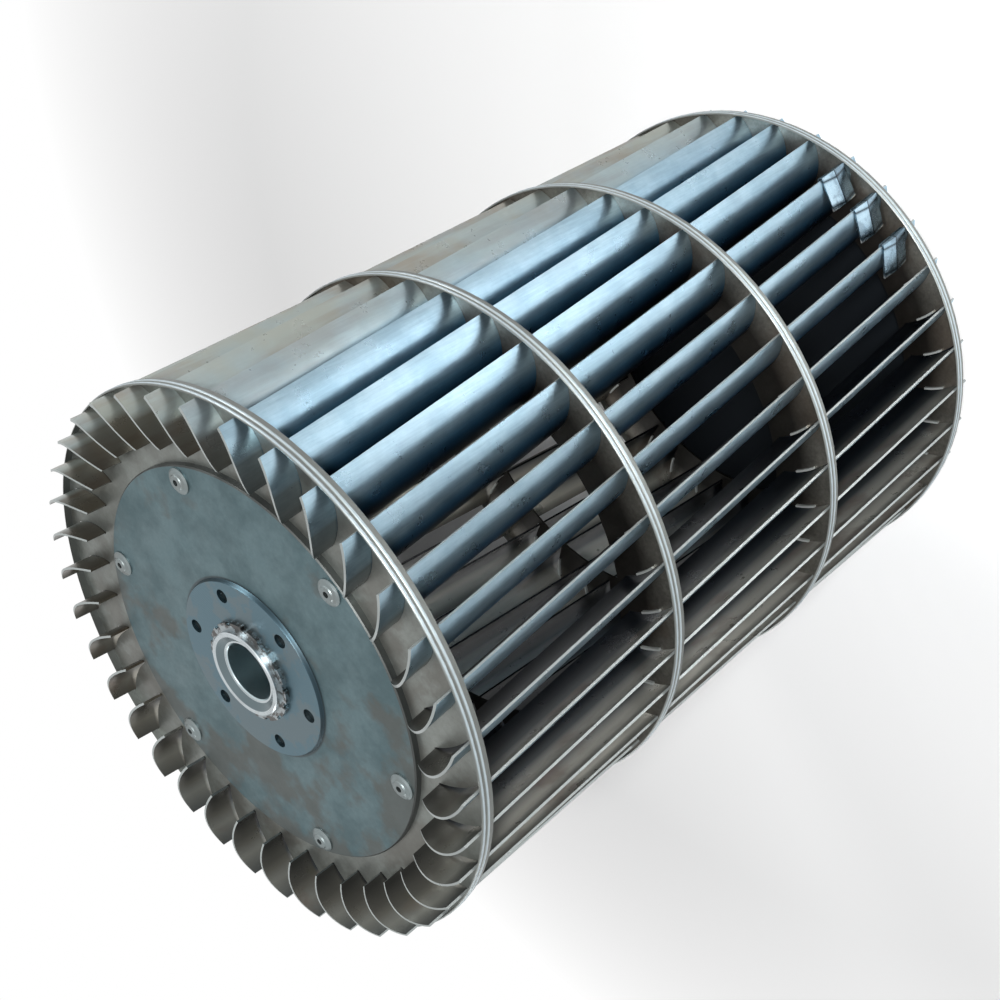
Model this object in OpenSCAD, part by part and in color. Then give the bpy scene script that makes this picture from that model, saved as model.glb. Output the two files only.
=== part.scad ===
// Blower wheel, single inlet, forward curved blades, driven from a hub on the closed end.
// The axis is Z and the hub end is up. The wheel stands on the lower ends of its blades at z = 0.
// Each blade is a straight sheet, leaning about its own mid radial line, so that the row looks skewed.

/* [Wheel] */
// Diameter over the rim beads
wheel_d = 240; // [232:1:250]
// Number of blades round the wheel
blade_count = 36; // [24:1:40]
// Distance between two neighbouring rings
ring_pitch = 112; // [80:1:130]
// Height of the lowest ring above the lower blade ends
foot = 4; // [2:0.5:10]
// Height of the outer blade corners above the top ring
blade_stand = 7.3; // [5:0.1:12]
// How much lower the inner blade corners stand at the top
blade_slope = 1.6; // [0:0.1:4]
// How far the middle of a blade's upper end rises over the line between its corners
blade_crown = 2.9; // [1:0.1:4]

/* [Blades] */
// Sheet thickness of a blade
blade_t = 1; // [0.8:0.1:1.4]
// Mean radius of the blade's curve
blade_r = 21.8; // [19:0.1:24]
// Gap from the blade's outermost line to the outside of the wheel, at mid height
tip_inset = 1.9; // [1.8:0.1:3]
// Height of the curve's centre in front of the mid radial line
curve_y = 12.6; // [10:0.1:14]
// Angle at which the blade's curve begins, at its inner edge
curve_from = -105; // [-110:0.5:-98]
// Angle at which the blade's curve ends, at its outer edge
curve_to = -32.6; // [-36:0.1:-30]
// Lean of each blade about its mid radial line
blade_lean = 4.33; // [0:0.01:4.5]
// Angle of the first blade at mid height
blade_phase = -0.34; // [-5:0.01:5]

/* [Rings] */
// Height of a rim
rim_h = 6; // [5:0.1:8]
// Wall of a rim between its inside and the top of its beads
rim_wall = 0.8; // [0.6:0.05:1]
// Depth of the groove between the two beads
rim_groove = 0.4; // [0.2:0.05:0.5]
// Sheet thickness of a ring
plate_t = 1; // [0.8:0.1:1.5]
// Depth of a ring's sheet below the front edge of its rim
plate_drop = 3.4; // [3:0.1:4]
// Width of the three open rings, from the outside of the wheel to their round opening
ring_w = 30; // [29:0.5:34]
// Clearance of a slot round its blade
slot_gap = 0.15; // [0.12:0.01:0.25]
// Widest gap of a slot on the hollow side of its blade
slot_belly = 2.4; // [1:0.1:3]
// Height of the lip that is bent up beside a slot in an open ring
lip_h = 1.4; // [0.5:0.1:2]
// Length of that lip
lip_len = 10; // [6:0.5:12]

/* [Stiffener disc] */
// Distance from the outside of the wheel to the edge of the disc
disc_inset = 33; // [31:0.5:36]
// Thickness of the disc
disc_t = 3; // [2:0.5:4]
// Number of rivets through the disc
rivet_count = 6; // [4:1:8]
// Distance of the rivets' centres from the edge of the disc
rivet_inset = 6.5; // [6:0.5:10]
// Diameter of a rivet's shank
rivet_d = 4.8; // [4:0.1:5]
// Diameter of a rivet's head
rivet_head_d = 11; // [9:0.5:11]
// Height of a rivet's head
rivet_head_h = 2; // [1.5:0.1:3]
// Diameter of the hole that the mandrel leaves in a rivet
mandrel_d = 2.6; // [2:0.1:3]

/* [Hub] */
// Radius of the hub flange
flange_r = 39.6; // [38:0.1:42]
// Thickness of the hub flange
flange_t = 1.5; // [1.2:0.1:3]
// Number of plain holes in the flange
bolt_count = 6; // [3:1:6]
// Distance of the holes' centres from the edge of the flange
bolt_inset = 7.1; // [5:0.1:8]
// Diameter of a hole
bolt_hole_d = 6; // [5:0.5:6]
// Diameter of the shaft bore
bore_d = 25; // [20:1:26]
// Wall of the bush's neck, which passes through the plates
neck_wall = 6.1; // [5:0.1:6.5]
// Height of the neck's front edge above the flange
neck_stand = 4; // [3.5:0.1:6]
// Depth of the coned mouth in the neck
mouth_depth = 2.3; // [1:0.1:3]
// Width of the flat edge round the mouth
mouth_edge = 1.3; // [0.8:0.1:2]
// Width of the shoulder between the bush's body and its neck
shoulder_w = 5.4; // [4:0.1:8]
// Length of the bush's body inside the wheel
body_len = 34; // [20:1:50]
// Width of the staked collar
collar_w = 3.2; // [2.4:0.1:4]
// Height of the staked collar
collar_h = 1.8; // [1:0.1:2.5]
// Number of notches round the collar
collar_notches = 14; // [8:1:16]

/* [Balance clips] */
// Sheet thickness of a clip
clip_t = 0.7; // [0.6:0.1:0.8]
// Length of a clip along its blade
clip_len = 20.5; // [15:0.5:24]
// How far a clip's crease stands out
clip_crease = 0.8; // [0.4:0.1:0.8]
// Length of a clip's outer leg, from the blade's edge
clip_leg = 15.6; // [10:0.1:17]
// How far round the blade's curve a clip's inner leg reaches
clip_sweep = 22; // [16:1:26]

/* [Hidden] */
$fn = 96;
clip_count = 3;
wheel_r = wheel_d / 2;
rim_in = wheel_r - rim_wall;
// Bottom of each rim, from the open end up
ring_z = [for (i = [0:3]) foot + i * ring_pitch];
drive_z = ring_z[3];
drive_front = drive_z + rim_h;
// Sheet of the ring, measured from the bottom of its rim
plate_lo = rim_h - plate_drop - plate_t;
plate_hi = rim_h - plate_drop;
plate_top = drive_z + plate_hi;
disc_top = plate_top + disc_t;
flange_top = disc_top + flange_t;
neck_top = flange_top + neck_stand;
// Height of the outer corners of the blades
corner_z = drive_front + blade_stand;
mid_z = corner_z / 2;
blade_step = 360 / blade_count;
ring_hole_r = wheel_r - ring_w;
disc_r = wheel_r - disc_inset;
rivet_pcd = 2 * (disc_r - rivet_inset);
bolt_pcd = 2 * (flange_r - bolt_inset);
neck_r = bore_d / 2 + neck_wall;
body_r = neck_r + shoulder_w;
collar_r = neck_r + collar_w;
// Clearance of the rivets in their holes, and of the clips on their blades
fit_gap = 0.05;
// Centre of the blade's curve on the blade's own axes
curve_x = wheel_r - tip_inset - (blade_r + blade_t / 2) * cos(curve_to);
curve_mid = (curve_from + curve_to) / 2;
curve_half = (curve_to - curve_from) / 2;
// The slot's hollow side: a flatter arc through the same two ends
slot_r_out = blade_r + blade_t / 2 + slot_gap;
slot_r_in = blade_r - blade_t / 2 - slot_gap;
slot_half = curve_half + 1;
half_chord = slot_r_in * sin(slot_half);
sag = slot_r_in * (1 - cos(slot_half)) - slot_belly;
belly_r = (pow(half_chord, 2) + pow(sag, 2)) / (2 * sag);
belly_shift = slot_r_in * cos(slot_half) + sag - belly_r;

// Names of the blades, clips and rings
function two(i) = str(i < 10 ? "0" : "", i);
function blade_name(i) = str("blade_", two(i));
function clip_name(i) = str("balance_clip_", i);
ring_names = ["back_ring", "middle_ring_1", "middle_ring_2"];
hub_names = ["drive_plate", "stiffener_disc", "disc_rivets", "hub_flange", "hub_bush", "staked_collar"];

// Shift of a blade's section to one side at height z
function lean_at(z) = -(z - mid_z) * tan(blade_lean);
function polar(r, a) = [r * cos(a), r * sin(a)];

// Wedge with its corner at the origin, for cutting an arc out of a ring
module wedge(from, to, r) {
    step = (to - from) / 4;
    polygon([[0, 0], for (i = [0:4]) polar(r, from + i * step)]);
}

// Cross-section of a blade on its own axes: X is radial and Y points forward
module blade_section() {
    translate([curve_x, curve_y]) intersection() {
        difference() {
            circle(r = blade_r + blade_t / 2);
            circle(r = blade_r - blade_t / 2);
        }
        wedge(curve_from, curve_to, 2 * blade_r);
    }
}

// Side outline that trims a blade: flat at the foot, crowned at the top
module blade_outline() {
    in_x = curve_x + blade_r * cos(curve_from);
    out_x = wheel_r - tip_inset;
    chord = norm([out_x - in_x, blade_slope]);
    crown_r = (pow(chord / 2, 2) + pow(blade_crown, 2)) / (2 * blade_crown);
    middle = [(in_x + out_x) / 2, corner_z - blade_slope / 2];
    across = [-blade_slope, out_x - in_x] / chord;
    intersection() {
        translate([in_x - blade_r, 0]) square([out_x - in_x + 2 * blade_r, corner_z + blade_r]);
        union() {
            translate([in_x - blade_r, -blade_r]) square([out_x - in_x + 2 * blade_r, drive_front + blade_r]);
            translate(middle - (crown_r - blade_crown) * across) circle(r = crown_r);
        }
    }
}

// Frame that leans with the blades
module leaning() {
    translate([0, 0, mid_z]) rotate([blade_lean, 0, 0]) translate([0, 0, -mid_z]) children();
}

module blade_sheet() {
    intersection() {
        leaning() translate([0, 0, -blade_r]) linear_extrude(height = corner_z + 2 * blade_r) blade_section();
        translate([0, corner_z / 4, 0]) rotate([90, 0, 0]) linear_extrude(height = corner_z / 2) blade_outline();
    }
}

module blade(i) {
    color([0.50, 0.58, 0.62]) rotate(blade_phase + (i - 1) * blade_step) blade_sheet();
}

// Slot for one blade: the blade's curve with an opening on its hollow side
module slot() {
    translate([curve_x, curve_y]) intersection() {
        difference() {
            circle(r = slot_r_out);
            translate(polar(belly_shift, curve_mid)) circle(r = belly_r);
        }
        wedge(curve_from - 1, curve_to + 1, 2 * slot_r_out);
    }
}

// Foot of the lip beside a slot
module lip() {
    reach = lip_len / belly_r * 90 / PI;
    translate([curve_x, curve_y]) translate(polar(belly_shift, curve_mid)) intersection() {
        difference() {
            circle(r = belly_r - 0.2);
            circle(r = belly_r - 1.1);
        }
        wedge(curve_mid - reach, curve_mid + reach, 2 * belly_r);
    }
}

// One copy of the drawing for each blade, moved sideways as the blades are at height z
module around(z) {
    for (i = [0:blade_count - 1]) rotate(blade_phase + i * blade_step) translate([0, lean_at(z)]) children();
}

// Rolled rim with two beads, a groove between them and a bevelled skirt
module rim_profile() {
    bead = 0.9;
    depth = rim_wall;
    floor_r = wheel_r - rim_groove;
    high = rim_h - bead;
    low = plate_lo + 1.2;
    intersection() {
        union() {
            translate([wheel_r - bead, high]) circle(r = bead, $fn = 32);
            translate([wheel_r - bead, low]) circle(r = bead, $fn = 32);
            polygon([
                [rim_in, 0],
                [floor_r - 0.2, 0],
                [floor_r, 0.4],
                [floor_r, high],
                [rim_in, rim_h]
            ]);
        }
        translate([rim_in, 0]) square([depth + 1, rim_h]);
    }
}

// Sheet of a ring with its slots, from the radius hole_r outward
module slotted_sheet(z, hole_r) {
    difference() {
        circle(r = rim_in + 0.3);
        circle(r = hole_r);
        intersection() {
            around(z + plate_lo + plate_t / 2) slot();
            circle(r = rim_in);
        }
    }
}

module rolled_ring(z, hole_r) {
    translate([0, 0, z]) {
        rotate_extrude() rim_profile();
        translate([0, 0, plate_lo]) linear_extrude(height = plate_t) slotted_sheet(z, hole_r);
    }
}

// Row of plain round holes on a circle
module hole_row(count, pcd, d, z, h) {
    for (i = [0:count - 1]) rotate(i * 360 / count) translate([pcd / 2, 0, z]) cylinder(d = d, h = h, $fn = 48);
}

// Everything that passes through the plates
module plate_holes() {
    z = drive_z - 1;
    h = 20;
    translate([0, 0, z]) cylinder(r = neck_r, h = h);
    hole_row(rivet_count, rivet_pcd, rivet_d + 2 * fit_gap, z, h);
    hole_row(bolt_count, bolt_pcd, bolt_hole_d, z, h);
}

module drive_plate() {
    color([0.47, 0.51, 0.52]) difference() {
        rolled_ring(drive_z, neck_r - 1);
        plate_holes();
    }
}

module open_ring(i) {
    z = ring_z[i];
    color([0.52, 0.55, 0.55]) {
        rolled_ring(z, ring_hole_r);
        translate([0, 0, z + plate_lo]) linear_extrude(height = plate_t + lip_h) around(z + plate_hi) lip();
    }
}

module stiffener_disc() {
    color([0.44, 0.50, 0.51]) difference() {
        translate([0, 0, plate_top]) rotate_extrude() polygon([
            [0, 0],
            [disc_r, 0],
            [disc_r, disc_t - 0.5],
            [disc_r - 0.5, disc_t],
            [0, disc_t]
        ]);
        plate_holes();
    }
}

// Blind rivet: domed head with a raised boss, shank through both plates and a swollen tail behind
module blind_rivet() {
    back = plate_top - plate_t;
    head_r = rivet_head_d / 2;
    shank_r = rivet_d / 2;
    hole_r = mandrel_d / 2;
    rotate_extrude() polygon([
        [hole_r, disc_top + rivet_head_h],
        [hole_r, back - 3],
        [shank_r + 0.4, back - 3],
        [shank_r + 0.9, back - 2],
        [shank_r + 0.9, back - 0.6],
        [shank_r, back],
        [shank_r, disc_top],
        [head_r, disc_top],
        [head_r, disc_top + 0.5],
        [head_r - 0.9, disc_top + 1.1],
        [head_r - 2.1, disc_top + 1.5],
        [head_r - 2.5, disc_top + rivet_head_h - 0.1],
        [head_r - 2.9, disc_top + rivet_head_h]
    ]);
}

module disc_rivets() {
    color([0.66, 0.68, 0.68])
        for (i = [0:rivet_count - 1]) rotate(i * 360 / rivet_count) translate([rivet_pcd / 2, 0, 0]) blind_rivet();
}

module hub_flange() {
    color([0.51, 0.59, 0.62]) difference() {
        translate([0, 0, disc_top]) rotate_extrude() polygon([
            [0, 0],
            [flange_r, 0],
            [flange_r - 0.8, flange_t],
            [0, flange_t]
        ]);
        plate_holes();
    }
}

// Bush: a body behind the drive plate, and a neck that passes through the plates to a coned mouth
module hub_bush() {
    shoulder = plate_top - plate_t;
    bore_r = bore_d / 2;
    color([0.62, 0.65, 0.66]) rotate_extrude() polygon([
        [bore_r + 0.6, shoulder - body_len],
        [body_r - 1, shoulder - body_len],
        [body_r, shoulder - body_len + 1],
        [body_r, shoulder],
        [neck_r, shoulder],
        [neck_r, neck_top - 0.5],
        [neck_r - 0.5, neck_top],
        [neck_r - 0.5 - mouth_edge, neck_top],
        [bore_r + 1.1, neck_top - mouth_depth],
        [bore_r + 0.5, neck_top - mouth_depth],
        [bore_r, neck_top - mouth_depth - 0.5],
        [bore_r, shoulder - body_len + 0.6]
    ]);
}

// Collar staked over the neck against the flange, with notches round its edge
module staked_collar() {
    color([0.50, 0.46, 0.43]) translate([0, 0, flange_top]) linear_extrude(height = collar_h) difference() {
        circle(r = collar_r);
        circle(r = neck_r);
        for (i = [0:collar_notches - 1]) rotate((i + 0.4) * 360 / collar_notches)
            translate([collar_r - 1.2, -1.6]) square([4, 3.2]);
    }
}

// Frame at a blade's outer edge: X points out of the blade's face and Y along its curve, past the edge
module at_edge() {
    translate([curve_x, curve_y]) rotate(curve_to) children();
}

// Web over the blade's edge and the inner leg, which touches the blade's hollow side at both ends
module clip_hook() {
    face = blade_r - blade_t / 2 - fit_gap;
    top = blade_r + blade_t / 2 + fit_gap + clip_t;
    foot = polar(face, -clip_sweep);
    thick = polar(clip_t, -clip_sweep / 2);
    edge = 3 * fit_gap;
    polygon([
        [face, edge],
        [top, edge],
        [top, edge + clip_t],
        [face - clip_t, edge + clip_t],
        [face - clip_t, -0.2],
        foot - thick,
        foot,
        [face, 0]
    ]);
}

// Folded clip over a blade's outer edge: a flat outer leg with a crease across its middle, and a hook
module clip_sheet() {
    low = ring_z[0] + rim_h + 0.8;
    half = clip_len / 2;
    base = blade_r + blade_t / 2 + fit_gap;
    edge = 3 * fit_gap;
    leaning() translate([0, 0, low]) at_edge() {
        linear_extrude(height = clip_len) clip_hook();
        translate([0, edge + clip_t, 0]) rotate([90, 0, 0]) linear_extrude(height = clip_leg + clip_t) polygon([
            [base, 0],
            [base + clip_crease, half],
            [base, clip_len],
            [base + clip_t, clip_len],
            [base + clip_t + clip_crease, half],
            [base + clip_t, 0]
        ]);
    }
}

module balance_clip(i) {
    color([0.60, 0.68, 0.72]) rotate(blade_phase + (i - 2) * blade_step) clip_sheet();
}

drive_plate();
stiffener_disc();
disc_rivets();
hub_flange();
hub_bush();
staked_collar();
for (i = [0:2]) open_ring(i);
for (i = [1:blade_count]) blade(i);
for (i = [1:clip_count]) balance_clip(i);
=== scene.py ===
"""Blower wheel of galvanised sheet in a plain studio.

The wheel stands on its open end with its hub end up. Its CAD solids carry every shape, and this script
gives them sheet-metal finishes, with some light and shade painted into their colours, lights them and sets
the camera at the photograph's viewing angle.
The finishes are sized in millimetres on the real wheel. Floor, lamps and camera are placed in metres.
"""

import logging
import math
from dataclasses import dataclass, field, replace
from enum import Enum
from typing import Any, Optional

import bpy
from mathutils import Matrix, Vector


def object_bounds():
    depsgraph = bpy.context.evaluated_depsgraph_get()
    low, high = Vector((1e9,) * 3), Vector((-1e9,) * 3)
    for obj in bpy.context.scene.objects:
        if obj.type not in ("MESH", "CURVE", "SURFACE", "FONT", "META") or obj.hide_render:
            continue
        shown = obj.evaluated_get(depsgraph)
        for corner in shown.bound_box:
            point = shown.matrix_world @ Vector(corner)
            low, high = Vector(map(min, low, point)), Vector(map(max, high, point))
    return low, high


LOG = logging.getLogger("blower_wheel")
MM = 0.001
MICRON = 0.000001

# The wheel's axis, the plane across it, and the scale that changes nothing
AXIS = (0.0, 0.0, 1.0)
ACROSS = (1.0, 1.0, 0.0)
EVEN = (1.0, 1.0, 1.0)

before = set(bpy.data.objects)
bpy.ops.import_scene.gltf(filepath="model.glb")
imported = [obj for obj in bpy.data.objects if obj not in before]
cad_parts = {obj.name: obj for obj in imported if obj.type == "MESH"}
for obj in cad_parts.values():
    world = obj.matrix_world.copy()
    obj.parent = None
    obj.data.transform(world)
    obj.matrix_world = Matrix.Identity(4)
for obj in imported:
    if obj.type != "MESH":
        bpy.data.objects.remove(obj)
CAD_LOW, CAD_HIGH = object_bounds()

Tree = bpy.types.NodeTree
Socket = bpy.types.NodeSocket
Pair = tuple[float, float]
Triple = tuple[float, float, float]
Shades = tuple[tuple[float, str], ...]
Limit = tuple[Socket, float, float]


def box_mm(name: str) -> tuple[Vector, Vector]:
    """Measure a CAD piece.

    Args:
        name: The piece's name.

    Returns:
        The lowest and the highest corner of its box, in millimetres.
    """
    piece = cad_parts[name]
    corners = [piece.matrix_world @ Vector(corner) / MM for corner in piece.bound_box]
    return Vector(map(min, *corners)), Vector(map(max, *corners))


# Heights and radii from which the finishes are set out, in millimetres. No box gives the last two.
RING_PITCH = box_mm("middle_ring_2")[0].z - box_mm("middle_ring_1")[0].z
PLATE_TOP = box_mm("stiffener_disc")[0].z
NECK_TOP = box_mm("hub_bush")[1].z
WHEEL_R = box_mm("drive_plate")[1].x
DISC_R = box_mm("stiffener_disc")[1].x
FLANGE_R = box_mm("hub_flange")[1].x
NECK_R = 18.6
BORE_R = 12.5


def linear_rgba(hex_code: str) -> tuple[float, float, float, float]:
    """Turn an sRGB hex colour into a linear colour.

    Args:
        hex_code: The colour as six hex digits after a hash.

    Returns:
        Linear red, green and blue, with an alpha of 1.
    """
    channels = [int(hex_code[i : i + 2], 16) / 255 for i in (1, 3, 5)]
    red, green, blue = (c / 12.92 if c <= 0.04045 else ((c + 0.055) / 1.055) ** 2.4 for c in channels)
    return red, green, blue, 1.0


def feed(tree: Tree, node: bpy.types.Node, inputs: dict[Any, Any]) -> None:
    """Give a node's inputs their values and links.

    Args:
        tree: The node tree.
        node: The node.
        inputs: Input names or numbers, each with a value or with the output socket that feeds it.
    """
    for name, value in inputs.items():
        if isinstance(value, Socket):
            tree.links.new(value, node.inputs[name])
        else:
            node.inputs[name].default_value = value


def add_node(
    tree: Tree, kind: str, inputs: Optional[dict[Any, Any]] = None, shades: Shades = (), **settings: Any
) -> bpy.types.Node:
    """Add a shader node with its settings, input values and links.

    Args:
        tree: The node tree that gets the node.
        kind: The node's type name, without the word ShaderNode before it.
        inputs: Input names or numbers, each with a value or with the output socket that feeds it.
        shades: A colour ramp's places from 0 to 1, each with its sRGB hex colour.
        **settings: The node's settings, by name.

    Returns:
        The new node.
    """
    node = tree.nodes.new(f"ShaderNode{kind}")
    for name, value in settings.items():
        setattr(node, name, value)
    feed(tree, node, inputs or {})
    if shades:
        elements = node.color_ramp.elements
        while len(elements) < len(shades):
            elements.new(0.5)
        for element, (place, colour) in zip(elements, shades):
            element.position = place
            element.color = linear_rgba(colour)
    return node


def past(measure: Socket, edge: float, offsets: Pair) -> Limit:
    """Set a limit from an edge of the wheel.

    Args:
        measure: The height or radius, in millimetres.
        edge: The edge's own height or radius.
        offsets: How far past the edge a mark begins and how far it is full, negative below or inside it.

    Returns:
        The limit.
    """
    start, full = offsets
    return measure, edge + start, edge + full


def region(tree: Tree, *limits: Limit, amount: float = 1.0) -> Socket:
    """Mark the part of the wheel where some measures have all passed their limits.

    Args:
        tree: The node tree.
        *limits: Each a measure's socket, the value at which the mark begins and that from which it is full.
        amount: The mark's full level.

    Returns:
        The mark, from 0 to the full level.
    """
    (measure, start, full), *others = limits
    span = {"Value": measure, "From Min": start, "From Max": full, "To Max": amount}
    mark = add_node(tree, "MapRange", span).outputs["Result"]
    if others:
        mark = add_node(tree, "Math", {0: mark, 1: region(tree, *others)}, operation="MULTIPLY").outputs[0]
    return mark


def coat(tree: Tree, under: Any, over: str, *limits: Limit, amount: float = 1.0) -> Socket:
    """Lay a coat over one region of the metal, such as dirt beyond a radius.

    Args:
        tree: The node tree.
        under: The colour without the coat, as a value or a socket.
        over: The coat's sRGB hex colour.
        *limits: The region's limits, as region takes them.
        amount: How much of the metal a full coat hides.

    Returns:
        The colour with the coat.
    """
    mark = region(tree, *limits, amount=amount)
    return add_node(tree, "Mix", {0: mark, 6: under, 7: linear_rgba(over)}, data_type="RGBA").outputs[2]


@dataclass(frozen=True)
class Patches:
    """Uneven patches of a real size, such as cloudy zinc, stains, rust or the lines that rollers leave.

    The pattern's own level runs from about 0.3 to 0.7. Patches begin at one level and are full at another. A
    stretch below 1 draws them out along an axis, and a lean per metre brings more of them to one side.
    """

    size_mm: float
    start: float = 0.3
    full: float = 0.7
    amount: float = 1.0
    least: float = 0.0
    detail: float = 5.0
    roughness: float = 0.6
    stretch: Triple = EVEN
    lean: Optional[Triple] = None

    def level(self, tree: Tree, place: Socket) -> Socket:
        """Lay the bare pattern over the wheel.

        Args:
            tree: The node tree.
            place: The position socket, in metres.

        Returns:
            The pattern's level.
        """
        drawn = place
        if self.stretch != EVEN:
            drawn = add_node(tree, "VectorMath", {0: place, 1: self.stretch}, operation="MULTIPLY").outputs[0]
        noise = {
            "Vector": drawn,
            "Scale": 1 / (self.size_mm * MM),
            "Detail": self.detail,
            "Roughness": self.roughness,
        }
        level = add_node(tree, "TexNoise", noise).outputs["Fac"]
        if self.lean is None:
            return level
        leaning = add_node(tree, "VectorMath", {0: place, 1: self.lean}, operation="DOT_PRODUCT").outputs[1]
        return add_node(tree, "Math", {0: level, 1: leaning}, operation="ADD").outputs[0]

    def mask(self, tree: Tree, place: Socket) -> Socket:
        """Say how much of the patches each point has, from the least to the full amount."""
        span = {"From Min": self.start, "From Max": self.full, "To Min": self.least, "To Max": self.amount}
        return add_node(tree, "MapRange", {"Value": self.level(tree, place), **span}).outputs["Result"]

    def cover(self, tree: Tree, place: Socket, under: Any, over: Any) -> Socket:
        """Cover a colour with patches of another. Each is a value or a socket."""
        layers = {0: self.mask(tree, place), 6: under, 7: over}
        return add_node(tree, "Mix", layers, data_type="RGBA").outputs[2]


# The fine lines that rollers leave along a sheet, and the specks of dirt on a turned piece
ROLLING = Patches(1.8, detail=4.0, roughness=0.7, stretch=(1.0, 1.0, 0.03))
SPECKS = Patches(8.0, 0.48, 0.6, 0.2, detail=6.0, roughness=0.65)


class Spot:
    """Where a shaded point lies on the wheel, and how far its surface faces outward, onward and up.

    Its place is in metres, its height and radius are in millimetres. Onward is the way round the wheel that
    the blades' hollow sides face.
    """

    def __init__(self, tree: Tree) -> None:
        """Add the nodes that read the place and the surface's direction.

        Args:
            tree: The node tree.
        """
        self.place = add_node(tree, "TexCoord").outputs["Object"]
        scaled = {0: self.place, "Scale": 1 / MM}
        measured = add_node(tree, "VectorMath", scaled, operation="SCALE").outputs[0]
        self.height = add_node(tree, "SeparateXYZ", {0: measured}).outputs["Z"]
        flat = add_node(tree, "VectorMath", {0: measured, 1: ACROSS}, operation="MULTIPLY").outputs[0]
        self.radius = add_node(tree, "VectorMath", {0: flat}, operation="LENGTH").outputs[1]
        outward = add_node(tree, "VectorMath", {0: flat}, operation="NORMALIZE").outputs[0]
        onward = add_node(tree, "VectorMath", {0: AXIS, 1: outward}, operation="CROSS_PRODUCT").outputs[0]
        seen = {0: add_node(tree, "NewGeometry").outputs["True Normal"]}
        kinds = {"vector_type": "NORMAL", "convert_from": "WORLD", "convert_to": "OBJECT"}
        normal = add_node(tree, "VectorTransform", seen, **kinds).outputs[0]
        self.faces_out, self.faces_on, self.faces_up = (
            add_node(tree, "VectorMath", {0: normal, 1: way}, operation="DOT_PRODUCT").outputs[1]
            for way in (outward, onward, AXIS)
        )


class Film(Enum):
    """How much oily dust lies on a blade."""

    BARE = 0.0
    TOUCHED = 0.6
    OILY = 0.9


@dataclass(frozen=True)
class MetalFinish:
    """What all the wheel's metals share. Each kind of metal says what its own surface is."""

    name: str
    base: str

    def build(self) -> bpy.types.Material:
        """Make the material.

        Returns:
            The new material.
        """
        material = bpy.data.materials.new(self.name)
        material.use_nodes = True
        tree = material.node_tree
        feed(tree, tree.nodes["Principled BSDF"], self._surface(tree, Spot(tree)))
        return material

    def _surface(self, tree: Tree, spot: Spot) -> dict[str, Any]:
        """Say what the shader's inputs are: their names, each with its value or socket."""
        raise NotImplementedError

    def _wear_and_painted_light(self, tree: Tree, spot: Spot, colour: Socket) -> Socket:
        """Add to the bare metal's colour what depends on the place: wear, and in some finishes painted light
        and shade. A plain piece has nothing more.
        """
        return colour


@dataclass(frozen=True)
class SheetFinish(MetalFinish):
    """Zinc-coated steel sheet: rolling marks, cloudy zinc and darker handling stains.

    The rolling marks are drawn coarser than real ones, which would be too fine to show.
    """

    cloudy: str
    stain: str
    edge: str
    clouds: Patches = Patches(22.0, 0.4, 0.62, detail=7.0, roughness=0.68)
    stains: Patches = Patches(60.0, 0.50, 0.58, 0.5)
    rolling: Patches = ROLLING
    rolling_amount: float = 0.75
    rolling_tones: Shades = ((0.0, "#BEBEBE"), (1.0, "#FFFFFF"))
    gloss: Patches = Patches(12.0, least=0.34, amount=0.5)
    metallic: float = 0.8
    mark_um: float = 40.0
    mark_strength: float = 0.35
    mark_detail: float = 3.0
    mark_roughness: float = 0.6
    waves: Patches = Patches(25.0, detail=2.0)
    wave_mm: float = 0.5
    wave_strength: float = 0.25

    def _surface(self, tree: Tree, spot: Spot) -> dict[str, Any]:
        """Say what the sheet's colour, gloss and relief are.

        Args:
            tree: The node tree.
            spot: The shaded point.

        Returns:
            Input names, each with its value or socket.
        """
        return {
            "Base Color": self._wear_and_painted_light(tree, spot, self._sheet(tree, spot)),
            "Roughness": self.gloss.mask(tree, spot.place),
            "Metallic": self._metallic(tree, spot),
            "Normal": self._relief(tree, spot),
        }

    def _sheet(self, tree: Tree, spot: Spot) -> Socket:
        """Colour the bare sheet.

        Args:
            tree: The node tree.
            spot: The shaded point.

        Returns:
            The colour socket.
        """
        zinc = self.clouds.cover(tree, spot.place, linear_rgba(self.base), linear_rgba(self.cloudy))
        lines = {"Fac": self.rolling.mask(tree, spot.place)}
        tone = add_node(tree, "ValToRGB", lines, self.rolling_tones).outputs["Color"]
        layers = {0: self.rolling_amount, 6: zinc, 7: tone}
        rolled = add_node(tree, "Mix", layers, data_type="RGBA", blend_type="MULTIPLY").outputs[2]
        return self.stains.cover(tree, spot.place, rolled, linear_rgba(self.stain))

    def _metallic(self, tree: Tree, spot: Spot) -> Any:
        """Say how metallic the sheet is: the same all over, unless dust lies on it."""
        return self.metallic

    def _relief(self, tree: Tree, spot: Spot) -> Socket:
        """Raise the rolling marks and the sheet's faint waviness.

        Args:
            tree: The node tree.
            spot: The shaded point.

        Returns:
            The normal's socket.
        """
        marks = {
            "Height": replace(self.rolling, detail=self.mark_detail, roughness=self.mark_roughness).level(
                tree, spot.place
            ),
            "Distance": self.mark_um * MICRON,
            "Strength": self.mark_strength,
        }
        waves = {
            "Height": self.waves.level(tree, spot.place),
            "Distance": self.wave_mm * MM,
            "Strength": self.wave_strength,
            "Normal": add_node(tree, "Bump", marks).outputs["Normal"],
        }
        return add_node(tree, "Bump", waves).outputs["Normal"]


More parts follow.
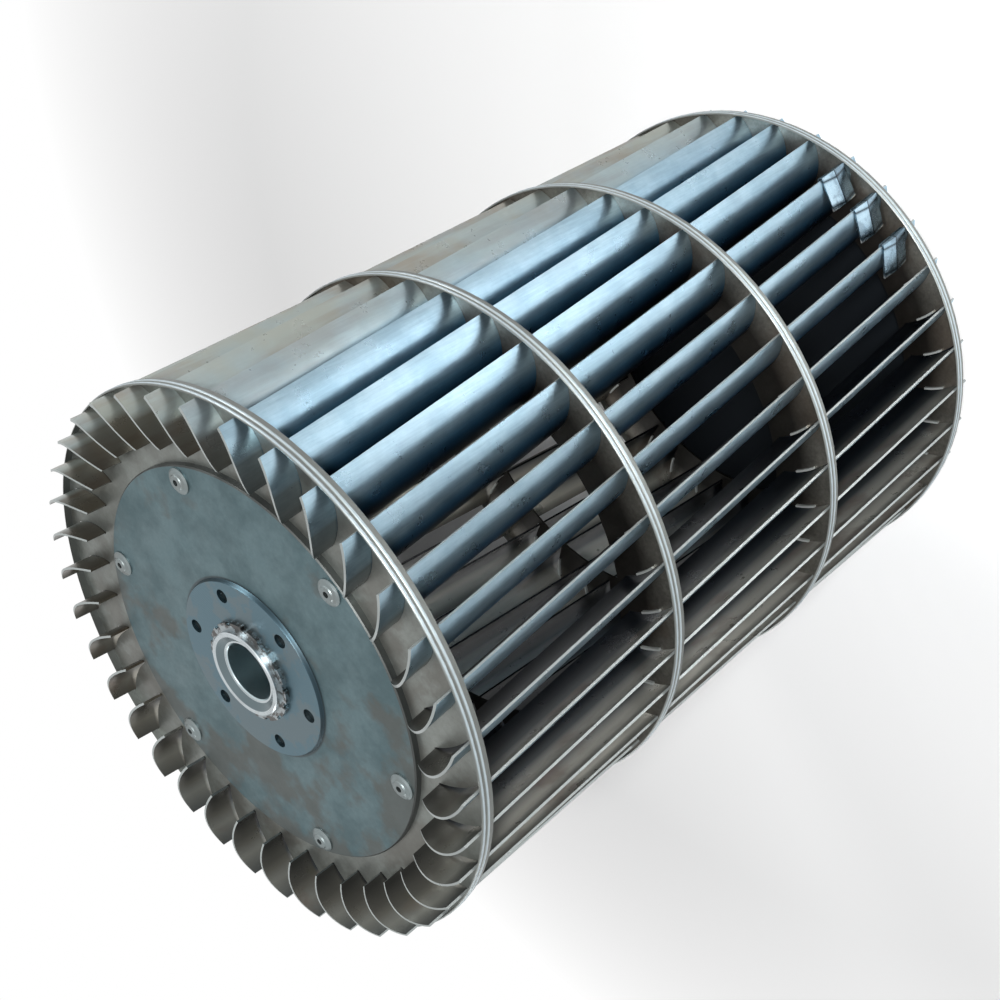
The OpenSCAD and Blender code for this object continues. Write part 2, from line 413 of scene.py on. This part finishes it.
@dataclass(frozen=True)
class BladeFinish(SheetFinish):
    """Blade sheet: bright outside, with painted shade and a painted blue reflection toward the inside, dust
    in the hollow under painted reflection and shade, and bare, lighter cuts that are partly a painted
    highlight.

    The rows of painted shades run from the blade's outer edge to its inner one, each with its share of the
    way. Stub shades are those of the ends that stand above the drive plate, painted shade tinted brown by
    dust. Pairs say
    where a mark begins and where it is full: as a radius past the wheel's, as a height past the drive plate's
    top, or as how far the surface faces one way.
    """

    inward_r: Pair = (-2.0, -22.0)
    # Painted shade toward the blade's inside, with a painted blue reflection in the middle tones.
    shades: Shades = (
        (0.0, "#FFFFFF"),
        (0.32, "#F2F9FF"),
        (0.48, "#A6D0EC"),
        (0.6, "#6CA2C6"),
        (0.77, "#294E6A"),
        (0.94, "#0D151C"),
    )
    # Painted shade toward the stub's inside, tinted brown by dust.
    stub_dust_and_painted_shade: Shades = (
        (0.0, "#FFFFFF"),
        (0.3, "#F0F3F4"),
        (0.46, "#A09890"),
        (1.0, "#857B72"),
    )
    # Dust on the hollow side, with a painted reflection band near the outer edge and painted shade toward the
    # inside.
    hollow_dust_and_painted_light: Shades = (
        (0.0, "#5F5B53"),
        (0.2, "#BBB7AB"),
        (0.42, "#86837A"),
        (0.62, "#35342F"),
        (0.85, "#101317"),
    )
    # Dust on the stub's hollow side, darker inward as painted shade.
    stub_hollow_dust_and_shade: Shades = (
        (0.0, "#45433E"),
        (0.25, "#77756C"),
        (0.6, "#4C4A44"),
        (1.0, "#2C2B28"),
    )
    rust: str = "#5F4838"
    rusting: Patches = Patches(45.0, 0.53, 0.63, 0.55)
    hollow_facing: Pair = (0.1, 0.3)
    hollow_amount: float = 0.92
    hollow_metallic: float = 0.5
    stub_shade_z: Pair = (-1.0, 0.5)
    stub_dust_z: Pair = (0.0, 1.0)
    stub_dust_r: Pair = (-8.0, -12.0)
    cut_r: Pair = (-9.0, -8.0)
    cut_facing: Pair = (0.25, 0.35)
    end_facing: Pair = (0.6, 0.8)
    oily: str = "#94968C"
    oiling: Patches = Patches(30.0, 0.38, 0.56)
    oil_thinnest: float = 0.75
    oil_dulling: float = 0.35
    streak: str = "#877E70"
    streaks: Patches = Patches(9.0, 0.46, 0.62, 0.85, detail=3.0, stretch=(1.0, 1.0, 0.1))
    film: Film = Film.BARE

    def _metallic(self, tree: Tree, spot: Spot) -> Socket:
        """Make the blade less metallic where dust lies, in the hollow and on the inner part of the stub.

        Args:
            tree: The node tree.
            spot: The shaded point.

        Returns:
            The socket.
        """
        hollow = region(tree, (spot.faces_on, *self.hollow_facing))
        above_plate = past(spot.height, PLATE_TOP, self.stub_dust_z)
        stub = region(tree, above_plate, past(spot.radius, WHEEL_R, self.stub_dust_r))
        dusty = add_node(tree, "Math", {0: hollow, 1: stub}, operation="MAXIMUM").outputs[0]
        clear = self.metallic * (1 - self.oil_dulling * self.film.value)
        levels = {"Value": dusty, "To Min": clear, "To Max": self.hollow_metallic}
        return add_node(tree, "MapRange", levels).outputs["Result"]

    def _wear_and_painted_light(self, tree: Tree, spot: Spot, colour: Socket) -> Socket:
        """Add the oily film, the painted shade toward the inside, the dust with painted reflection and shade,
        and the lighter cut edges, partly a painted highlight.

        Args:
            tree: The node tree.
            spot: The shaded point.
            colour: The sheet's colour.

        Returns:
            The colour socket.
        """
        if self.film is not Film.BARE:
            film = replace(self.oiling, amount=self.film.value, least=self.film.value * self.oil_thinnest)
            oil = self.streaks.cover(tree, spot.place, linear_rgba(self.oily), linear_rgba(self.streak))
            colour = film.cover(tree, spot.place, colour, oil)
        # Painted shade toward the inside, multiplied into the sheet's colour; on the stub it is tinted brown
        # by dust.
        inward = region(tree, past(spot.radius, WHEEL_R, self.inward_r))
        stub = region(tree, past(spot.height, PLATE_TOP, self.stub_shade_z))
        shade = self._shade(tree, inward, stub, self.shades, self.stub_dust_and_painted_shade)
        layers = {0: 1.0, 6: colour, 7: shade}
        colour = add_node(tree, "Mix", layers, data_type="RGBA", blend_type="MULTIPLY").outputs[2]
        # Dust on the hollow side, with painted reflection and painted shade toward the inside; rust patches
        # darken it.
        dust_and_painted_light = self._shade(tree, inward, stub, self.hollow_dust_and_painted_light, self.stub_hollow_dust_and_shade)
        tint = {0: 1.0, 6: dust_and_painted_light, 7: linear_rgba(self.rust)}
        rusty = add_node(tree, "Mix", tint, data_type="RGBA", blend_type="DARKEN").outputs[2]
        dust_and_painted_light = self.rusting.cover(tree, spot.place, dust_and_painted_light, rusty)
        hollow = region(tree, (spot.faces_on, *self.hollow_facing), amount=self.hollow_amount)
        colour = add_node(tree, "Mix", {0: hollow, 6: colour, 7: dust_and_painted_light}, data_type="RGBA").outputs[2]
        # Bare cut edges painted lighter, partly a painted highlight.
        facings = [(way, *self.cut_facing) for way in (spot.faces_out, spot.faces_on)]
        outer = region(tree, past(spot.radius, WHEEL_R, self.cut_r), *facings)
        ends = region(tree, (spot.faces_up, *self.end_facing))
        cut = add_node(tree, "Math", {0: outer, 1: ends}, operation="MAXIMUM").outputs[0]
        layers = {0: cut, 6: colour, 7: linear_rgba(self.edge)}
        return add_node(tree, "Mix", layers, data_type="RGBA").outputs[2]

    def _shade(self, tree: Tree, inward: Socket, stub: Socket, long: Shades, short: Shades) -> Socket:
        """Shade a blade from its outer edge to its inner one, in another way on its stub.

        Args:
            tree: The node tree.
            inward: The share of the way to the inner edge.
            stub: The mark of the stub.
            long: The shades of the blade between the rings.
            short: The stub's shades.

        Returns:
            The colour socket.
        """
        below, above = (
            add_node(tree, "ValToRGB", {"Fac": inward}, shades).outputs["Color"] for shades in (long, short)
        )
        return add_node(tree, "Mix", {0: stub, 6: below, 7: above}, data_type="RGBA").outputs[2]


@dataclass(frozen=True)
class ClipFinish(SheetFinish):
    """Folded clip sheet: painted shadows in the folds, painted light and shade across the crease, and a bare
    cut end that is lighter, partly a painted highlight.

    The crease climbs with the radius from crease_z, the height it would have at the axis. Its shades run
    across it. Those of the folds run from the clip's end to its fold over the blade. Pairs are radii past the
    wheel's.
    """

    crease_z: float = 8.37
    crease_slope: float = 0.11
    crease_half: float = 3.0
    folds_r: Pair = (-9.8, -0.2)
    bare_end_r: Pair = (-9.1, -9.3)
    # Painted light and shade across the crease: darker before it, a dark line on it, lighter beyond.
    painted_crease_shading: Shades = (
        (0.0, "#D9DDE0"),
        (0.36, "#B9C0C5"),
        (0.45, "#3B444B"),
        (0.52, "#59656E"),
        (0.56, "#FFFFFF"),
    )
    # Painted shadows at the clip's folds.
    painted_fold_shadows: Shades = (
        (0.0, "#FFFFFF"),
        (0.08, "#FFFFFF"),
        (0.13, "#4A545B"),
        (0.22, "#FFFFFF"),
        (0.8, "#FFFFFF"),
        (0.87, "#3B444B"),
        (0.93, "#FFFFFF"),
    )

    def _wear_and_painted_light(self, tree: Tree, spot: Spot, colour: Socket) -> Socket:
        """Paint shadows in the folds and light and shade across the crease, and make the end lighter, partly
        a painted highlight.

        Args:
            tree: The node tree.
            spot: The shaded point.
            colour: The sheet's colour.

        Returns:
            The colour socket.
        """
        # Painted light and shade across the crease, then painted shadows at the folds.
        slope = {0: spot.radius, 1: self.crease_slope}
        climb = add_node(tree, "Math", slope, operation="MULTIPLY").outputs[0]
        level = add_node(tree, "Math", {0: spot.height, 1: climb}, operation="SUBTRACT").outputs[0]
        across = region(tree, (level, self.crease_z - self.crease_half, self.crease_z + self.crease_half))
        outward = region(tree, past(spot.radius, WHEEL_R, self.folds_r))
        for way, shades in ((across, self.painted_crease_shading), (outward, self.painted_fold_shadows)):
            layers = {0: 1.0, 6: colour, 7: add_node(tree, "ValToRGB", {"Fac": way}, shades).outputs["Color"]}
            colour = add_node(tree, "Mix", layers, data_type="RGBA", blend_type="MULTIPLY").outputs[2]
        # Bare cut end painted lighter, partly a painted highlight.
        return coat(tree, colour, self.edge, past(spot.radius, WHEEL_R, self.bare_end_r))


@dataclass(frozen=True)
class DiscFinish(SheetFinish):
    """Blanked disc with painted shade on its bevelled edge and a painted shadow round the flange's foot.

    The bevel's pair is of radii past the disc's, and the foot's is of radii past the flange's.
    """

    bevel_r: Pair = (-0.7, -0.5)
    foot_r: Pair = (1.1, 0.5)
    foot_amount: float = 0.8
    # Painted shadow round the flange's foot.
    painted_foot_shadow: str = "#343C3F"

    def _wear_and_painted_light(self, tree: Tree, spot: Spot, colour: Socket) -> Socket:
        """Paint shade on the bevel and a shadow round the flange's foot.

        Args:
            tree: The node tree.
            spot: The shaded point.
            colour: The sheet's colour.

        Returns:
            The colour socket.
        """
        # Painted shadow round the flange's foot.
        at_foot = past(spot.radius, FLANGE_R, self.foot_r)
        colour = coat(tree, colour, self.painted_foot_shadow, at_foot, amount=self.foot_amount)
        # Painted shade on the bevelled edge.
        return coat(tree, colour, self.edge, past(spot.radius, DISC_R, self.bevel_r))


@dataclass(frozen=True)
class RimmedFinish(SheetFinish):
    """Pressed ring: dull sheet inside, two beads round the rim with a painted highlight, and a darker groove
    between them.

    An open ring also has painted shade toward the inside, and a painted highlight on the lips that are bent
    up from its sheet. Pairs are radii past the wheel's, and the lips' are heights over the sheet.
    """

    groove: str = "#6C6E6A"
    groove_amount: float = 0.8
    groove_r: Pair = (-0.25, -0.35)
    rim: str = "#8A9294"
    rim_amount: float = 0.85
    rim_r: Pair = (-1.0, -0.9)
    # The beads take the edge colour as a painted highlight.
    bead_r: Pair = (-0.16, -0.1)
    bead_amount: float = 0.9
    # Painted shade toward the inside of the open rings.
    painted_inner_shade: Optional[str] = None
    painted_inner_shade_r: Pair = (-6.0, -17.0)
    painted_inner_shade_amount: float = 0.9
    # Painted highlight on the lips bent up from the sheet.
    lip_highlight: Optional[str] = None
    lip_foot: Pair = (0.0, 0.3)
    lip_top: Pair = (2.01, 2.0)

    def _wear_and_painted_light(self, tree: Tree, spot: Spot, colour: Socket) -> Socket:
        """Add the painted shade inside, the rim's own colours with a painted highlight on its beads, and the
        painted highlight on the bent lips.

        Args:
            tree: The node tree.
            spot: The shaded point.
            colour: The sheet's colour.

        Returns:
            The colour socket.
        """
        in_painted_shade, on_rim, in_groove, on_bead = (
            past(spot.radius, WHEEL_R, pair) for pair in (self.painted_inner_shade_r, self.rim_r, self.groove_r, self.bead_r)
        )
        # Painted shade toward the inside.
        if self.painted_inner_shade:
            colour = coat(tree, colour, self.painted_inner_shade, in_painted_shade, amount=self.painted_inner_shade_amount)
        # Painted highlight on the bent-up lips.
        if self.lip_highlight:
            # The open rings' sheets lie whole pitches below the drive plate's
            below = add_node(tree, "Math", {0: spot.height, 1: PLATE_TOP}, operation="SUBTRACT").outputs[0]
            rise = add_node(tree, "Math", {0: below, 1: RING_PITCH}, operation="FLOORED_MODULO").outputs[0]
            colour = coat(tree, colour, self.lip_highlight, (rise, *self.lip_foot), (rise, *self.lip_top))
        colour = coat(tree, colour, self.rim, on_rim, amount=self.rim_amount)
        colour = coat(tree, colour, self.groove, on_rim, in_groove, amount=self.groove_amount)
        # Painted highlight along the beads.
        return coat(tree, colour, self.edge, on_bead, amount=self.bead_amount)


@dataclass(frozen=True)
class TurnedFinish(MetalFinish):
    """Steel or aluminium with the rings that a lathe tool leaves about the wheel's axis, and spots of dirt.

    The rings are drawn coarser than real ones, which would be too fine to show. At a scale of 1 the wave
    pattern has a ring about every 0.3 units, which ring_scale turns into the real spacing.
    """

    shade: str
    ring_mm: float = 0.5
    ring_um: float = 20.0
    ring_strength: float = 0.4
    ring_scale: float = 0.3
    ring_wander: float = 0.6
    ring_detail: float = 2.0
    rough: float = 0.28
    metallic: float = 1.0
    stain: str = "#6E6660"
    stains: Patches = SPECKS

    def _surface(self, tree: Tree, spot: Spot) -> dict[str, Any]:
        """Say what the turned metal's colour, gloss and relief are.

        Args:
            tree: The node tree.
            spot: The shaded point.

        Returns:
            Input names, each with its value or socket.
        """
        pattern = {
            "Vector": spot.place,
            "Scale": self.ring_scale / (self.ring_mm * MM),
            "Distortion": self.ring_wander,
            "Detail": self.ring_detail,
        }
        kinds = {"wave_type": "RINGS", "rings_direction": "Z", "wave_profile": "SIN"}
        rings = add_node(tree, "TexWave", pattern, **kinds).outputs["Fac"]
        layers = {0: rings, 6: linear_rgba(self.base), 7: linear_rgba(self.shade)}
        turned = add_node(tree, "Mix", layers, data_type="RGBA").outputs[2]
        dirty = self.stains.cover(tree, spot.place, turned, linear_rgba(self.stain))
        cut = {"Height": rings, "Distance": self.ring_um * MICRON, "Strength": self.ring_strength}
        return {
            "Base Color": self._wear_and_painted_light(tree, spot, dirty),
            "Roughness": self.rough,
            "Metallic": self.metallic,
            "Normal": add_node(tree, "Bump", cut).outputs["Normal"],
        }


@dataclass(frozen=True)
class FlangeFinish(TurnedFinish):
    """Turned flange with painted shade on its chamfer, set out by radii past the flange's."""

    # Painted shade on the chamfer.
    painted_chamfer_shade: str = "#2C383E"
    chamfer_r: Pair = (-0.9, -0.7)
    chamfer_amount: float = 0.85

    def _wear_and_painted_light(self, tree: Tree, spot: Spot, colour: Socket) -> Socket:
        """Paint shade on the chamfer."""
        # Painted shade on the chamfer.
        on_chamfer = past(spot.radius, FLANGE_R, self.chamfer_r)
        return coat(tree, colour, self.painted_chamfer_shade, on_chamfer, amount=self.chamfer_amount)


@dataclass(frozen=True)
class BushFinish(TurnedFinish):
    """Turned bush: bright edges, with a dull film in the coned mouth and another one in the bore.

    The mouth's pairs are heights past the neck's top and radii past the neck's. The others are radii past
    the bore's.
    """

    mouth: str = "#6A777B"
    mouth_z: Pair = (-0.15, -0.3)
    mouth_r: Pair = (-1.0, -1.3)
    lip_r: Pair = (1.3, 1.2)
    lip_amount: float = 0.9
    bore: str = "#B2C2C6"
    wall_r: Pair = (0.45, 0.3)

    def _wear_and_painted_light(self, tree: Tree, spot: Spot, colour: Socket) -> Socket:
        """Add the films in the mouth and the bore, with bright metal between them.

        Args:
            tree: The node tree.
            spot: The shaded point.
            colour: The turned metal's colour.

        Returns:
            The colour socket.
        """
        below_top = past(spot.height, NECK_TOP, self.mouth_z)
        colour = coat(tree, colour, self.mouth, below_top, past(spot.radius, NECK_R, self.mouth_r))
        on_lip = past(spot.radius, BORE_R, self.lip_r)
        colour = coat(tree, colour, self.base, on_lip, amount=self.lip_amount)
        return coat(tree, colour, self.bore, past(spot.radius, BORE_R, self.wall_r))


def dress(nodes: list[str], material: bpy.types.Material) -> None:
    """Give CAD nodes a material and report them.

    Args:
        nodes: The nodes' names.
        material: The material for all their slots.
    """
    for name in nodes:
        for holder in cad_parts[name].material_slots:
            holder.material = material
    LOG.info("%s: %d pieces", material.name, len(nodes))


@dataclass
class BladeRow:
    """Forward curved blades, roll formed from galvanised sheet, with oily dust on one side of the wheel."""

    count: int = 36
    oily: tuple[int, ...] = tuple(range(7, 20))
    touched: tuple[int, ...] = (6, 20)
    # Zinc on roll formed steel: a blue grey that mirrors the floor softly, with fine lines along the blade,
    # and painted shade with a painted blue reflection toward the inside.
    finish: BladeFinish = field(
        default_factory=lambda: BladeFinish(
            "Galvanised steel, roll formed",
            "#8FA9B7",
            "#9EB6C3",
            "#8398A5",
            "#9AA09F",
            stains=Patches(35.0, 0.5, 0.58, 0.25),
            rolling=replace(ROLLING, size_mm=1.0),
            rolling_amount=0.4,
            gloss=Patches(12.0, least=0.26, amount=0.34),
            metallic=0.9,
            mark_um=20.0,
        )
    )

    def build(self) -> None:
        """Dress every blade in the finish of its place."""
        for film in Film:
            finish = replace(self.finish, name=f"{self.finish.name}, {film.name.lower()}", film=film)
            chosen = [i for i in range(1, self.count + 1) if self._film(i) is film]
            dress([f"blade_{i:02d}" for i in chosen], finish.build())

    def _film(self, number: int) -> Film:
        """Say how oily a blade is.

        Args:
            number: The blade's number.

        Returns:
            Its film.
        """
        if number in self.oily:
            return Film.OILY
        return Film.TOUCHED if number in self.touched else Film.BARE


@dataclass
class SupportRings:
    """The three open rings, pressed from galvanised sheet with rolled rims."""

    names: tuple[str, ...] = ("back_ring", "middle_ring_1", "middle_ring_2")
    # Zinc on pressed steel: dull and brownish with dust inside, painted shade further in and painted
    # highlights on the rim's beads.
    finish: RimmedFinish = field(
        default_factory=lambda: RimmedFinish(
            "Galvanised steel, pressed ring",
            "#67655F",
            "#7B7972",
            "#54483D",
            "#B3C0C6",
            lip_highlight="#C9CECC",
            painted_inner_shade="#12100F",
        )
    )

    def build(self) -> None:
        """Dress the rings."""
        dress(list(self.names), self.finish.build())


@dataclass
class DriveEnd:
    """The closed end: drive plate, stiffener disc and blind rivets."""

    # Zinc on pressed steel: an even warm grey with small stains and no rolling direction left, and painted
    # highlights on its rim's beads.
    plate: RimmedFinish = field(
        default_factory=lambda: RimmedFinish(
            "Galvanised steel, pressed drive plate",
            "#737672",
            "#858A86",
            "#5D5A54",
            "#B3C0C6",
            stains=Patches(25.0, 0.5, 0.58, 0.5),
            rolling=replace(ROLLING, stretch=EVEN),
            rolling_amount=0.3,
        )
    )
    # Plated zinc on blanked steel: a cold blue green bloom, with brown stains on the side where dirt has run,
    # painted shade on its bevel and a painted shadow round the flange's foot.
    disc: DiscFinish = field(
        default_factory=lambda: DiscFinish(
            "Zinc plated steel, blanked disc",
            "#465C61",
            "#5A7075",
            "#4C4D49",
            "#484B4A",
            stains=Patches(42.0, 0.5, 0.58, 0.75, lean=(-0.7, -1.0, 0.0)),
            rolling=replace(ROLLING, stretch=EVEN),
            rolling_amount=0.25,
        )
    )
    # Aluminium formed in the rivet tool: a satin grey head that takes a broad soft highlight.
    rivets: TurnedFinish = field(
        default_factory=lambda: TurnedFinish("Aluminium, formed rivet head", "#858E8F", "#788283", rough=0.4)
    )

    def build(self) -> None:
        """Dress the closed end."""
        dress(["drive_plate"], self.plate.build())
        dress(["stiffener_disc"], self.disc.build())
        dress(["disc_rivets"], self.rivets.build())


@dataclass
class Hub:
    """Flange, bush and staked collar."""

    # Plated zinc on turned steel: a blue face with faint rings, dulled in patches by handling, with painted
    # shade on its chamfer.
    flange: FlangeFinish = field(
        default_factory=lambda: FlangeFinish(
            "Zinc plated steel, turned flange",
            "#4C6670",
            "#5A737E",
            rough=0.36,
            stain="#606E73",
            stains=replace(SPECKS, size_mm=18.0, start=0.5, full=0.54, amount=0.8),
        )
    )
    # Steel turned bright: nearly white metal, with a sharp highlight along each edge.
    bush: BushFinish = field(
        default_factory=lambda: BushFinish("Steel, turned bright", "#C3CBCE", "#AEB7BB", rough=0.25)
    )
    # Steel upset by a punch and left bare: bright notches between brown black spots of oxide.
    collar: TurnedFinish = field(
        default_factory=lambda: TurnedFinish(
            "Steel, staked and oxidised",
            "#A9B0B2",
            "#858D90",
            rough=0.35,
            stain="#3F3833",
            stains=replace(SPECKS, size_mm=3.5, full=0.54, amount=0.85),
        )
    )

    def build(self) -> None:
        """Dress the hub."""
        dress(["hub_flange"], self.flange.build())
        dress(["hub_bush"], self.bush.build())
        dress(["staked_collar"], self.collar.build())


@dataclass
class BalanceClips:
    """Folded clips near the open end."""

    count: int = 3
    # Zinc on folded steel: the glossiest sheet of the wheel, with painted light and shade across its crease
    # and painted shadows in its folds.
    finish: ClipFinish = field(
        default_factory=lambda: ClipFinish(
            "Galvanised steel, folded clip",
            "#8CA6B6",
            "#A9C0CD",
            "#5B6C78",
            "#E8EDEE",
            stains=Patches(7.0, 0.5, 0.58, 0.5),
            rolling_amount=0.2,
            gloss=Patches(12.0, least=0.16, amount=0.3),
            metallic=0.95,
            mark_um=8.0,
        )
    )

    def build(self) -> None:
        """Dress the clips."""
        dress([f"balance_clip_{i}" for i in range(1, self.count + 1)], self.finish.build())


@dataclass
class Stage:
    """Pale floor and white surround. Under the wheel the floor has painted shade, dark as the wheel's inside
    is.
    """

    half_width: float = 6.0
    floor_colour: str = "#FBFBFB"
    rough: float = 0.9
    specular: float = 0.1
    white: float = 1.0
    fill: float = 0.05
    glow_r: Pair = (0.4, 0.65)
    # Painted shade on the floor under the wheel.
    footprint_r: Pair = (0.115, 0.113)
    painted_footprint_shade: str = "#0E1216"

    def build(self) -> None:
        """Make the floor and the surround."""
        self._floor()
        self._surround()
        LOG.info("Stage: floor and white surround")

    def _floor(self) -> None:
        """Make the floor: pale, with the wheel's shadow near it, painted shade under the wheel, and pure
        white where it is seen far away.
        """
        side = self.half_width
        mesh = bpy.data.meshes.new("Floor")
        corners = [(-side, -side, 0), (side, -side, 0), (side, side, 0), (-side, side, 0)]
        mesh.from_pydata(corners, [], [(0, 1, 2, 3)])
        floor = bpy.data.objects.new("Floor", mesh)
        bpy.context.scene.collection.objects.link(floor)
        # Matt white paper: next to no highlight, so that it shows only the soft edge of a shadow.
        material = bpy.data.materials.new("Studio paper, matt white")
        material.use_nodes = True
        tree = material.node_tree
        place = add_node(tree, "TexCoord").outputs["Object"]
        away = add_node(tree, "VectorMath", {0: place}, operation="LENGTH").outputs[1]
        pale = linear_rgba(self.floor_colour)
        # Painted shade on the floor under the wheel.
        colour = coat(tree, pale, self.painted_footprint_shade, (away, *self.footprint_r))
        shader = tree.nodes["Principled BSDF"]
        matt = {"Roughness": self.rough, "Specular IOR Level": self.specular}
        feed(tree, shader, {"Base Color": colour, **matt})
        far = {0: self._seen(tree), 1: region(tree, (away, *self.glow_r))}
        share = add_node(tree, "Math", far, operation="MULTIPLY").outputs[0]
        glow = add_node(tree, "Emission", {"Strength": self.white}).outputs[0]
        surface = add_node(tree, "MixShader", {0: share, 1: shader.outputs[0], 2: glow}).outputs[0]
        feed(tree, tree.nodes["Material Output"], {"Surface": surface})
        mesh.materials.append(material)

    def _surround(self) -> None:
        """Make the world white where it is seen or mirrored, with a plain level of fill elsewhere."""
        world = bpy.data.worlds.new("Studio surround")
        bpy.context.scene.world = world
        world.use_nodes = True
        tree = world.node_tree
        levels = {"Value": self._seen(tree), "To Min": self.fill, "To Max": self.white}
        strength = add_node(tree, "MapRange", levels).outputs["Result"]
        feed(tree, tree.nodes["Background"], {"Color": linear_rgba("#FFFFFF"), "Strength": strength})

    def _seen(self, tree: Tree) -> Socket:
        """Tell rays that see the surround, directly, mirrored or through glass, from rays that light it.

        Args:
            tree: The node tree.

        Returns:
            A socket that is 1 for such rays and 0 for the rest.
        """
        path = add_node(tree, "LightPath").outputs
        indirect = {0: path["Is Glossy Ray"], 1: path["Is Transmission Ray"]}
        mirrored = add_node(tree, "Math", indirect, operation="MAXIMUM").outputs[0]
        return add_node(tree, "Math", {0: path["Is Camera Ray"], 1: mirrored}, operation="MAXIMUM").outputs[0]


@dataclass
class StudioLamp:
    """What all the lamps share: a place, a point to face and a strength."""

    name: str
    place: Triple
    aim: Triple
    watts: float

    def _hang(self, light: bpy.types.Light) -> None:
        """Put a light at the lamp's place and aim it.

        Args:
            light: The light.
        """
        light.energy = self.watts
        lamp = bpy.data.objects.new(self.name, light)
        bpy.context.scene.collection.objects.link(lamp)
        lamp.location = self.place
        lamp.rotation_mode = "QUATERNION"
        lamp.rotation_quaternion = (Vector(self.aim) - Vector(self.place)).to_track_quat("-Z", "Y")
        LOG.info("Lamp: %s", self.name)


@dataclass
class SoftBox(StudioLamp):
    """One large soft lamp."""

    size: float

    def build(self) -> None:
        """Make the lamp."""
        light = bpy.data.lights.new(self.name, "AREA")
        light.shape = "DISK"
        light.size = self.size
        self._hang(light)


@dataclass
class NarrowLamp(StudioLamp):
    """Lamp with a soft-edged cone, for one place only."""

    cone_deg: float
    radius: float = 0.1
    soft: float = 0.8

    def build(self) -> None:
        """Make the lamp."""
        light = bpy.data.lights.new(self.name, "SPOT")
        light.spot_size = math.radians(self.cone_deg)
        light.spot_blend = self.soft
        light.shadow_soft_size = self.radius
        self._hang(light)


@dataclass
class Lighting:
    """Key lamp in front of the wheel, and narrow lamps for its sides and for the floor its blades mirror."""

    key: SoftBox = field(
        default_factory=lambda: SoftBox(
            "Key soft box", (1.54, -0.08, 1.81), tuple((CAD_LOW + CAD_HIGH) / 2), 66.0, size=0.5
        )
    )
    outer_floor: NarrowLamp = field(
        default_factory=lambda: NarrowLamp(
            "Outer floor lamp", (0.6, -0.07, 1.6), (0.5, -0.09, 0.0), 150.0, 20.0
        )
    )
    inner_floor: NarrowLamp = field(
        default_factory=lambda: NarrowLamp(
            "Inner floor lamp", (0.5, -0.07, 1.6), (0.27, -0.06, 0.0), 122.0, 15.0
        )
    )
    side: NarrowLamp = field(
        default_factory=lambda: NarrowLamp(
            "Side lamp", (0.3, 1.5, 0.8), (0.0, -0.02, 0.31), 56.0, 22.0, radius=0.25
        )
    )
    back: NarrowLamp = field(
        default_factory=lambda: NarrowLamp(
            "Back lamp", (-1.15, -1.15, 0.55), (0.0, 0.0, 0.27), 42.0, 17.0, radius=0.3
        )
    )

    def build(self) -> None:
        """Make the lamps."""
        for lamp in (self.key, self.outer_floor, self.inner_floor, self.side, self.back):
            lamp.build()


@dataclass
class PhotoCamera:
    """Camera at the photograph's viewing angle, from the fit of rims and blade tips."""

    place: Triple = (0.5432, -0.0499, 0.6158)
    right: Triple = (0.4504, -0.5977, -0.6632)
    up: Triple = (0.4119, 0.7981, -0.4396)
    lens_mm: float = 55.48
    sensor_mm: float = 36.0
    clip: Pair = (0.01, 50.0)

    def build(self) -> None:
        """Make the camera and set it as the scene's."""
        data = bpy.data.cameras.new("Camera")
        data.lens = self.lens_mm
        data.sensor_width = self.sensor_mm
        data.clip_start, data.clip_end = self.clip
        camera = bpy.data.objects.new("Camera", data)
        bpy.context.scene.collection.objects.link(camera)
        right = Vector(self.right).normalized()
        back = right.cross(Vector(self.up)).normalized()
        up = back.cross(right)
        turn = Matrix((right, up, back)).transposed().to_4x4()
        camera.matrix_world = Matrix.Translation(Vector(self.place)) @ turn
        bpy.context.scene.camera = camera
        LOG.info("Camera: %.1f mm", self.lens_mm)


def main() -> None:
    """Build the scene in order: camera, wheel, stage and lamps."""
    logging.basicConfig(level=logging.INFO, format="%(name)s %(message)s")
    bpy.context.scene.view_settings.view_transform = "Standard"
    PhotoCamera().build()
    BladeRow().build()
    SupportRings().build()
    DriveEnd().build()
    Hub().build()
    BalanceClips().build()
    Stage().build()
    Lighting().build()


if __name__ == "__main__":
    main()
